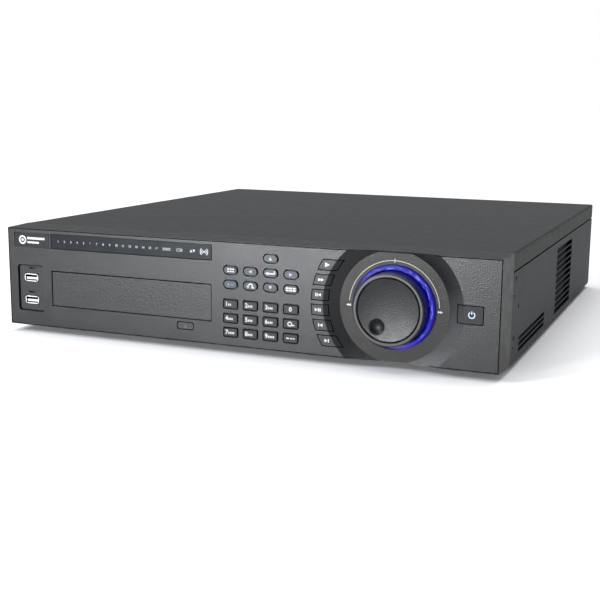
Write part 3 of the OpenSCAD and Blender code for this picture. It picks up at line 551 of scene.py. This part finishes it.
def triangle(x, z, size, way):
    """A filled arrow head that points right, left, up or down."""
    points = [(-size / 2, -size / 2), (size / 2, 0), (-size / 2, size / 2)]
    turn = {"right": 0, "up": 1, "left": 2, "down": 3}[way]
    for _ in range(turn):
        points = [(-b, a) for a, b in points]
    return [(x + a, z + b) for a, b in points]


def arc(x, z, r, width, start, end, steps=48):
    """A curved stripe between two angles in degrees."""
    angles = [math.radians(start + (end - start) * i / steps) for i in range(steps + 1)]
    inner, outer = ([(x + edge * math.cos(a), z + edge * math.sin(a)) for a in angles]
                    for edge in (r - width / 2, r + width / 2))
    return inner + outer[::-1]


def disc(x, z, r, sides=20):
    angles = [math.tau * i / sides for i in range(sides)]
    return [(x + r * math.cos(a), z + r * math.sin(a)) for a in angles]


ARROW = 2.8  # size of the arrow heads on the oval keys


def key_legends():
    """Numbers with small group marks beside them, and plain signs in place of words."""
    digit_height, marks_start, marks_pitch = 3.4, -1.3, 1.45
    group_marks = {1: 2, 7: 4, 9: 4}  # every other digit but 0 has three
    for digit in range(10):
        node = f"key_{digit}"
        x, z, y = centre(node)
        digit_x = x - (3.3 if digit else 0.2)
        number(f"legend_{digit}", str(digit), digit_x, z, y, digit_height, node, weight=0.03)
        if digit:
            marks = [bar(x + marks_start + i * marks_pitch, z - 0.4, 0.85, 1.7)
                     for i in range(group_marks.get(digit, 3))]
            prism(f"group_{digit}", marks, y, node)
    shapes = {
        "key_circle": lambda x, z: [arc(x - 0.6, z, 1.6, 0.8, 0, 358), bar(x + 2.4, z - 0.9, 2.0, 0.9)],
        "key_dash": lambda x, z: [bar(x - 2.4, z, 2.4, 0.9), bar(x + 0.6, z, 1.5, 0.9),
                                  bar(x + 2.9, z, 1.5, 0.9)],
        "key_up": lambda x, z: [triangle(x, z, ARROW, "up")],
        "key_down": lambda x, z: [triangle(x, z, ARROW, "down")],
        "key_left": lambda x, z: [triangle(x, z, ARROW, "left")],
        "key_right": lambda x, z: [triangle(x, z, ARROW, "right")],
        "key_enter": lambda x, z: [bar(x + 0.9, z - 0.4, 6.4, 1.0), bar(x + 3.6, z + 0.7, 1.0, 2.2),
                                   triangle(x - 3.2, z - 0.4, ARROW, "left")],
        "key_escape": lambda x, z: [arc(x + 0.4, z, 1.7, 0.9, -60, 200),
                                    triangle(x - 1.9, z - 1.0, 2.2, "down"), bar(x + 2.8, z - 1.2, 1.8, 0.9)],
        "key_function": lambda x, z: [bar(x + across, z + up, 1.5, 1.0)
                                      for across in (-1.8, 0.4, 2.6) for up in (-1, 0.9)],
        "key_multi": lambda x, z: [bar(x + across, z + up, 2.4, 1.2)
                                   for across in (-3, 0, 3) for up in (-1, 0.8)],
    }
    for node, shape in shapes.items():
        x, z, y = centre(node)
        arrow = node in ("key_up", "key_down", "key_left", "key_right")
        prism("legend_" + node, shape(x, z), y, node, look=arrow_print if arrow else None)
    x, z, y = centre("key_shift")
    prism("legend_key_shift", [triangle(x - 1.8, z + 0.4, 3.0, "up"), bar(x - 1.8, z - 1.4, 1.4, 1.2),
                               bar(x + 1.8, z, 2.6, 1.0)], y, "key_shift", "blue_ink")


def playback_legends():
    """The usual playback signs, on a circle round the dial."""
    def stroke(x, z):
        return bar(x, z, 0.8, 2.8)

    shapes = {
        "key_play": lambda x, z: [triangle(x, z, 3.8, "right")],
        "key_fast": lambda x, z: [triangle(x - 1.1, z, 2.6, "right"), triangle(x + 1.2, z, 2.6, "right")],
        "key_reverse": lambda x, z: [stroke(x - 1.9, z), stroke(x - 0.6, z), triangle(x + 1.2, z, 2.6, "left")],
        "key_slow": lambda x, z: [triangle(x - 1.2, z, 2.6, "right"), stroke(x + 0.7, z), stroke(x + 2.0, z)],
        "key_previous": lambda x, z: [stroke(x - 1.6, z), triangle(x + 0.4, z, 2.7, "left")],
        "key_next": lambda x, z: [triangle(x - 0.4, z, 2.7, "right"), stroke(x + 1.6, z)],
    }
    legend_r = 60.6
    for node, shape in shapes.items():
        _, z, y = centre(node)
        x = DIAL_X - math.sqrt(legend_r ** 2 - (z - DIAL_Z) ** 2)
        prism("legend_" + node, shape(x, z), y, node)


def window_marks():
    """The status window's dark edge, and the channel numbers and state signs behind it."""
    (left, _, low), (right, _, high) = corners("status_window")
    line, inset = 0.4, 0.2
    middle_x, middle_z = (left + right) / 2, (low + high) / 2
    prism("window_edge", [bar(middle_x, low + inset, right - left, line)]
          + [bar(x, middle_z, line, high - low - 2 * line) for x in (left + inset, right - inset)],
          0, "case", "grey_ink", dark_print)
    z = middle_z + 0.3
    channels, first_x, pitch, digit_height = 16, -166.2, 6.48, 1.8
    for i in range(channels):
        number(f"channel_{i + 1}", str(i + 1), first_x + i * pitch, z, 0, digit_height, "case", "grey_ink",
               weight=0.05)
    power_x, disk_x, network_x, remote_x = -59.7, -47.6, -35.6, -25
    prism("state_power", [bar(power_x + across, z + up, 1.1, 0.8)
                          for across in (-3, -1.5, 0, 1.5, 3) for up in (-0.6, 0.6)], 0, "case", "grey_ink")
    prism("state_disk", [bar(disk_x, z + 0.9, 5.4, 0.5), bar(disk_x, z - 0.9, 5.4, 0.5),
                         disc(disk_x + 1.4, z, 0.5), bar(disk_x - 2.5, z, 0.5, 2.2),
                         bar(disk_x + 2.5, z, 0.5, 2.2)], 0, "case", "grey_ink")
    prism("state_network", [triangle(network_x - 1.3, z, 2.2, "up"), triangle(network_x + 1.3, z, 2.2, "down")],
          0, "case")
    waves = [arc(remote_x, z, r, 0.6, turn - 50, turn + 50) for r in (2.0, 3.4) for turn in (0, 180)]
    prism("state_remote", [disc(remote_x, z, 0.8)] + waves, 0, "case")


def port_marks():
    """A plain plug sign above each USB socket."""
    for i, (x, z) in enumerate(((-195.2, 52.3), (-196.2, 31.1))):
        prism(f"port_mark_{i}", [bar(x - 1.2, z, 4.6, 1.8), bar(x + 2.6, z + 0.5, 2.6, 0.5),
                                 bar(x + 2.6, z - 0.5, 2.6, 0.5)],
              USB_FLOOR, "case", "black_plastic", dark_print)


def button_legends():
    x, z, y = centre("eject_button")
    prism("legend_eject", [triangle(x, z + 0.5, 2.2, "up"), bar(x, z - 1.2, 2.2, 0.5)], y, "eject_button",
          "grey_ink", faint_print)
    x, z, y = centre("power_button")
    sign_x = x + 1.3
    prism("legend_power", [arc(sign_x, z, 2.3, 0.7, 125, 415), bar(sign_x, z + 1.7, 0.7, 2.4)], y,
          "power_button", "blue_ink", plain("power_print", (0.38, 0.47, 0.62), 0.45, depth=0.001))


def badge_emblem():
    """A plain lens sign: a ring with a dot, and bars beside it."""
    x, z, _ = centre("badge_plate")
    lens_x = x - 9.5
    prism("badge_lens", [arc(lens_x, z, 3.1, 1.4, 0, 358), disc(lens_x, z, 1.2)], 0, "case")
    prism("badge_bars", [bar(x + 4.5, z + 1.7, 18, 1.9), bar(x + 1.5, z - 1.9, 12, 1.6)], 0, "case")


def dial_marks():
    """The fine arc over the dial with a tick at its top and a double arrow at each end."""
    r = 36.0
    prism("dial_arc", [arc(DIAL_X, DIAL_Z, r, 0.5, 4, 176, 96)], DISH_DEPTH, "case", look=cream_print)
    prism("dial_tick", [bar(DIAL_X, DIAL_Z + r, 0.7, 3.0)], DISH_DEPTH, "case", look=cream_print)
    for side, way in ((-1, "left"), (1, "right")):
        x = DIAL_X + side * (r + 0.6)
        heads = [triangle(x + across, DIAL_Z - 0.8, 2.0, way) for across in (-0.9, 0.9)]
        prism("dial_arrow_" + way, heads, DISH_DEPTH, "case")


def finger_cup():
    """The dark lining of the finger dimple, a thin dished cap that turns with the jog disc. The dimple is a
    ball's cut in the jog disc's bowl, so its rim is not quite round, and rim_r() finds it by halving."""
    face = corners("jog_dial")[0][1]
    ball_r = (DIMPLE_R ** 2 + DIMPLE_DEEP ** 2) / (2 * DIMPLE_DEEP)
    ball_y = face + DIMPLE_START + DIMPLE_DEEP - ball_r
    cup_x, cup_z = DIAL_X + DIMPLE_X, DIAL_Z + DIMPLE_Z
    thick, rings, sides, halvings = 0.05, 8, 48, 24

    def ball_back(r):
        """How far back the ball reaches at the distance r from its middle."""
        return ball_y + math.sqrt(ball_r ** 2 - r ** 2)

    def rim_r(a):
        low, high = 0.0, DIMPLE_R * 1.5
        for _ in range(halvings):
            r = (low + high) / 2
            from_axis = math.hypot(DIMPLE_X + r * math.cos(a), DIMPLE_Z + r * math.sin(a))
            bowl_y = face + BOWL_DEPTH * (1 - (from_axis / BOWL_R) ** 2)
            low, high = (r, high) if ball_back(r) > bowl_y else (low, r)
        return low

    built = bmesh.new()
    layers = []
    rim = [(rim_r(a), a) for a in (math.tau * k / sides for k in range(sides))]
    for offset in (-thick, thick):
        rows = []
        for i in range(1, rings + 1):
            spots = [(edge * i / rings, a) for edge, a in rim]
            rows.append([built.verts.new(at(cup_x + r * math.cos(a), ball_back(r) + offset,
                                            cup_z + r * math.sin(a))) for r, a in spots])
        middle = built.verts.new(at(cup_x, ball_back(0) + offset, cup_z))
        for k in range(sides):
            j = (k + 1) % sides
            built.faces.new((middle, rows[0][k], rows[0][j]))
            for inner, outer in zip(rows, rows[1:]):
                built.faces.new((inner[k], outer[k], outer[j], inner[j]))
        layers.append(rows[-1])
    for k in range(sides):
        j = (k + 1) % sides
        built.faces.new((layers[0][k], layers[0][j], layers[1][j], layers[1][k]))
    bmesh.ops.recalc_face_normals(built, faces=built.faces)
    mesh = bpy.data.meshes.new("finger_cup")
    built.to_mesh(mesh)
    built.free()
    mesh.shade_smooth()
    placed("finger_cup", mesh, "jog", "black_plastic", finger_rubber)


def usb_tongues():
    """The pale contact carrier in each USB socket, with its four contacts."""
    tongue_x, tongue_high, pitch = USB_X + 0.2, 1.8, 2.4
    for i, z in enumerate(USB_Z):
        tongue_z = z - 0.55
        prism(f"usb_tongue_{i}", [bar(tongue_x, tongue_z, 11.1, tongue_high)], USB_FLOOR, "case", "white_ink",
              socket_plastic, front=-0.02, back=12)
        for k in range(4):
            contact = bar(tongue_x + (k - 1.5) * pitch, tongue_z + tongue_high / 2 + 0.05, 1.1, 0.12)
            prism(f"usb_contact_{i}_{k}", [contact], USB_FLOOR + 0.8, "case", "bright_metal", contact_gold,
                  front=0, back=8)


key_legends()
playback_legends()
window_marks()
port_marks()
button_legends()
badge_emblem()
dial_marks()
finger_cup()
usb_tongues()


# ---------------------------------------------------------------- stage, light and camera
def add_floor():
    mesh = bpy.data.meshes.new("floor")
    half = FLOOR_SIZE / 2
    square = [(-half, -half, 0), (half, -half, 0), (half, half, 0), (-half, half, 0)]
    mesh.from_pydata(square, [], [(0, 1, 2, 3)])
    made = bpy.data.objects.new("floor", mesh)
    bpy.context.scene.collection.objects.link(made)
    mesh.materials.append(plain("pale_floor", (0.88, 0.88, 0.885), 0.7, grain=4.0, depth=0.0, tone=0.005,
                                gloss=0.0))


def add_backdrop():
    """A plain white shell round the whole stage. It is only a background: it lights nothing."""
    built = bmesh.new()
    bmesh.ops.create_icosphere(built, subdivisions=4, radius=FLOOR_SIZE / 2)
    mesh = bpy.data.meshes.new("backdrop")
    built.to_mesh(mesh)
    built.free()
    made = bpy.data.objects.new("backdrop", mesh)
    bpy.context.scene.collection.objects.link(made)
    white, tree, shader = new_material("backdrop_white")
    shader.inputs["Base Color"].default_value = (0, 0, 0, 1)
    shader.inputs["Specular IOR Level"].default_value = 0
    shader.inputs["Emission Color"].default_value = (1, 1, 1, 1)
    shader.inputs["Emission Strength"].default_value = 1.0
    mesh.materials.append(white)
    for ray in ("diffuse", "glossy", "transmission", "volume_scatter", "shadow"):
        setattr(made, "visible_" + ray, False)


def add_softbox(name, azimuth, elevation, distance, size, power, target=(0.03, -0.23, 0.06)):
    """An area light, placed by its direction from target, a point on the front. Azimuth 0 is straight in
    front and grows to the right. Distance, size and target are in metres."""
    turn, lift = math.radians(azimuth), math.radians(elevation)
    away = Vector((math.sin(turn) * math.cos(lift), -math.cos(turn) * math.cos(lift), math.sin(lift)))
    data = bpy.data.lights.new(name, "AREA")
    data.shape = "RECTANGLE"
    data.size, data.size_y = size
    data.energy = power
    data.color = (0.935, 0.97, 1.0)
    made = bpy.data.objects.new(name, data)
    bpy.context.scene.collection.objects.link(made)
    made.location = Vector(target) + away * distance
    made.rotation_euler = away.to_track_quat("Z", "Y").to_euler()


def add_overhead(strength, softness, tilt, turn):
    """Wide soft light from above that lights the floor evenly as far as it goes. Angles are in degrees."""
    data = bpy.data.lights.new("overhead", "SUN")
    data.energy = strength
    data.angle = math.radians(softness)
    made = bpy.data.objects.new("overhead", data)
    bpy.context.scene.collection.objects.link(made)
    made.rotation_euler = (math.radians(tilt), 0, math.radians(turn))


def add_world(strength):
    world = bpy.data.worlds.new("studio")
    bpy.context.scene.world = world
    world.use_nodes = True
    shade = world.node_tree.nodes["Background"]
    shade.inputs["Color"].default_value = (0.96, 0.98, 1, 1)
    shade.inputs["Strength"].default_value = strength


def add_camera():
    """The camera. It looks along azimuth, from straight back towards the right, and elevation, above the
    horizon, both in degrees, and is rolled a little."""
    azimuth, elevation, roll = (math.radians(a) for a in (-22.62, -10.617, 0.556))
    place = at(374.57, -755.90, 198.16)
    look = Vector((math.sin(azimuth) * math.cos(elevation), math.cos(azimuth) * math.cos(elevation),
                   math.sin(elevation)))
    right = look.cross(Vector((0, 0, 1))).normalized()
    up = right.cross(look)
    turned_right = math.cos(roll) * right + math.sin(roll) * up
    turned_up = -math.sin(roll) * right + math.cos(roll) * up
    data = bpy.data.cameras.new("camera")
    data.lens = 63.67
    data.sensor_width = 36
    data.clip_end = 50
    made = bpy.data.objects.new("camera", data)
    bpy.context.scene.collection.objects.link(made)
    turn = Matrix((turned_right, turned_up, -look)).transposed().to_4x4()
    made.matrix_world = Matrix.Translation(place) @ turn
    bpy.context.scene.camera = made


add_floor()
add_backdrop()
add_world(0.32)
add_overhead(strength=2.7, softness=70, tilt=-14, turn=20)
add_softbox("front_softbox", azimuth=-19.5, elevation=4.5, distance=2.2, size=(0.35, 0.3), power=78)
add_softbox("key_softbox", azimuth=-48, elevation=30, distance=2.4, size=(0.9, 0.7), power=36)
add_camera()
bpy.context.scene.view_settings.view_transform = "Standard"
